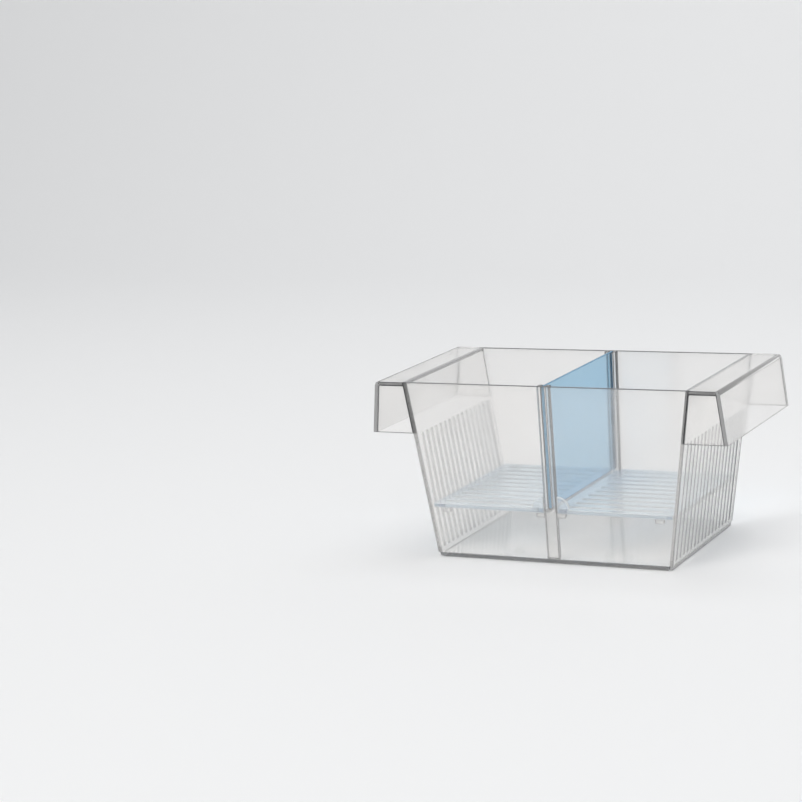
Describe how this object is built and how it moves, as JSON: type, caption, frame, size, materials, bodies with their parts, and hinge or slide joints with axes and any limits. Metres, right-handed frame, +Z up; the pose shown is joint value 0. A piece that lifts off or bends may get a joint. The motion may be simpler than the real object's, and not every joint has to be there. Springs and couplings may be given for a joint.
{
  "type": "floating fish breeding box",
  "caption": "Open clear box with sloping slotted ends, a hollow float along each end, a lift-out divider and lift-out slotted floors over a fry space.",
  "frame": {"origin": "centre of the underside, on the surface the box stands on", "axes": "+X along the length towards the right float as seen from the front, +Y from front to back, +Z up"},
  "size_m": [0.2068, 0.106, 0.099],
  "materials": {
    "clear_panel": "clear polished styrene, near colourless, with darker edges",
    "divider_panel": "clear polished plastic with a pale blue cast",
    "floor_panel": "clear polished plastic with a faint blue cast"
  },
  "bodies": {
    "tank": {"base_plate": "clear_panel", "front_wall": "clear_panel", "back_wall": "clear_panel", "left_slotted_wall": "clear_panel", "right_slotted_wall": "clear_panel", "left_float_shelf": "clear_panel", "right_float_shelf": "clear_panel", "left_float_flap": "clear_panel", "right_float_flap": "clear_panel", "left_float_front_end": "clear_panel", "left_float_back_end": "clear_panel", "right_float_front_end": "clear_panel", "right_float_back_end": "clear_panel", "front_divider_guide": "clear_panel", "back_divider_guide": "clear_panel", "front_floor_rests": "clear_panel", "back_floor_rests": "clear_panel"},
    "divider": {"divider": "divider_panel"},
    "left_floor": {"left_floor_grid": "floor_panel"},
    "right_floor": {"right_floor_grid": "floor_panel"}
  },
  "joints": [
    {"name": "divider_slide", "type": "slide", "parent": "tank", "child": "divider", "axis": [0, 0, 1], "range_m": [0, 0.08]},
    {"name": "left_floor_lift", "type": "slide", "parent": "tank", "child": "left_floor", "axis": [0, 0, 1], "range_m": [0, 0.08]},
    {"name": "right_floor_lift", "type": "slide", "parent": "tank", "child": "right_floor", "axis": [0, 0, 1], "range_m": [0, 0.08]}
  ]
}
